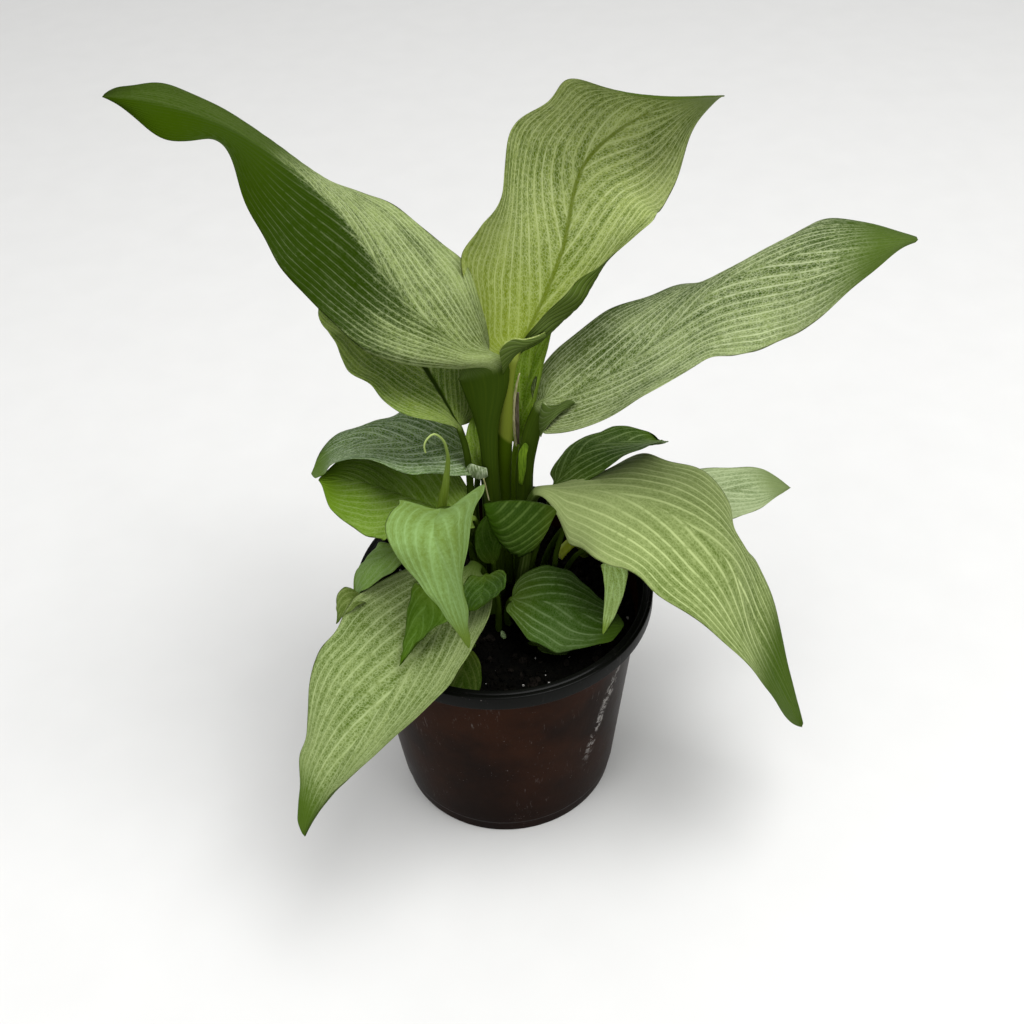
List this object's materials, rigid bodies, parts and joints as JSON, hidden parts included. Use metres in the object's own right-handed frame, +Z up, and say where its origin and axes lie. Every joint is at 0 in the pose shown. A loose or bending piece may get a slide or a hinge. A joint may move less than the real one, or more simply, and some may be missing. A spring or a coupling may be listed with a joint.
{
  "type": "potted peace lily",
  "caption": "Young potted plant: long arching pale-veined green leaves on stalks, growing from dark soil in a small round black nursery pot.",
  "frame": {"origin": "centre of the pot's flat foot, on the surface the pot stands on", "axes": "+Z up along the pot's axis, -Y towards the side seen first, +X to its right"},
  "size_m": [0.216, 0.1396, 0.2565],
  "materials": {
    "pot_plastic": "thin moulded black-brown nursery plastic, glossy, with scuffs, dust and creases",
    "soil_mix": null,
    "leaf_frosted_light": "leaf blade, pale frosted yellow-green with darker green flecks between light parallel veins, satin",
    "leaf_frosted_dark": "leaf blade, mid green with frosted pale streaks between light parallel veins, satin",
    "leaf_dark_striped": "leaf blade, dark green with fine silver-green stripes, satin",
    "leaf_plain_green": "leaf blade, even fresh green with faint veins, satin",
    "stalk_green": "smooth fresh green shoot, slightly glossy",
    "stalk_yellow_green": "yellow-green stalk with a pale dry cut end",
    "feed_grain": "pale grey-green coated grain, matt"
  },
  "bodies": {
    "root": {"nursery_pot": "pot_plastic", "potting_soil": "soil_mix", "leaf_tall_left": "leaf_frosted_dark", "leaf_tall_back": "leaf_frosted_light", "leaf_tall_right": "leaf_frosted_dark", "leaf_rolled_new": "leaf_plain_green", "leaf_back_left": "leaf_frosted_dark", "leaf_side_left_upper": "leaf_dark_striped", "leaf_side_left_lower": "leaf_frosted_dark", "leaf_nodding_front": "leaf_plain_green", "leaf_drooping_left": "leaf_frosted_light", "leaf_arching_right": "leaf_frosted_light", "leaf_back_right": "leaf_dark_striped", "leaf_far_right": "leaf_frosted_light", "leaf_round_right": "leaf_dark_striped", "leaf_narrow_right": "leaf_plain_green", "leaf_small_left": "leaf_dark_striped", "leaf_small_front": "leaf_plain_green", "leaf_round_front": "leaf_dark_striped", "leaf_cupped_front": "leaf_dark_striped", "leaf_folded_centre": "leaf_dark_striped", "leaf_dark_centre": "leaf_dark_striped", "leaf_small_upright": "leaf_plain_green", "leaf_sliver_left": "leaf_plain_green", "leaf_under_round": "leaf_dark_striped", "sprout_hooked": "stalk_green", "stalk_stub": "stalk_yellow_green", "feed_pellet": "feed_grain"}
  },
  "joints": []
}
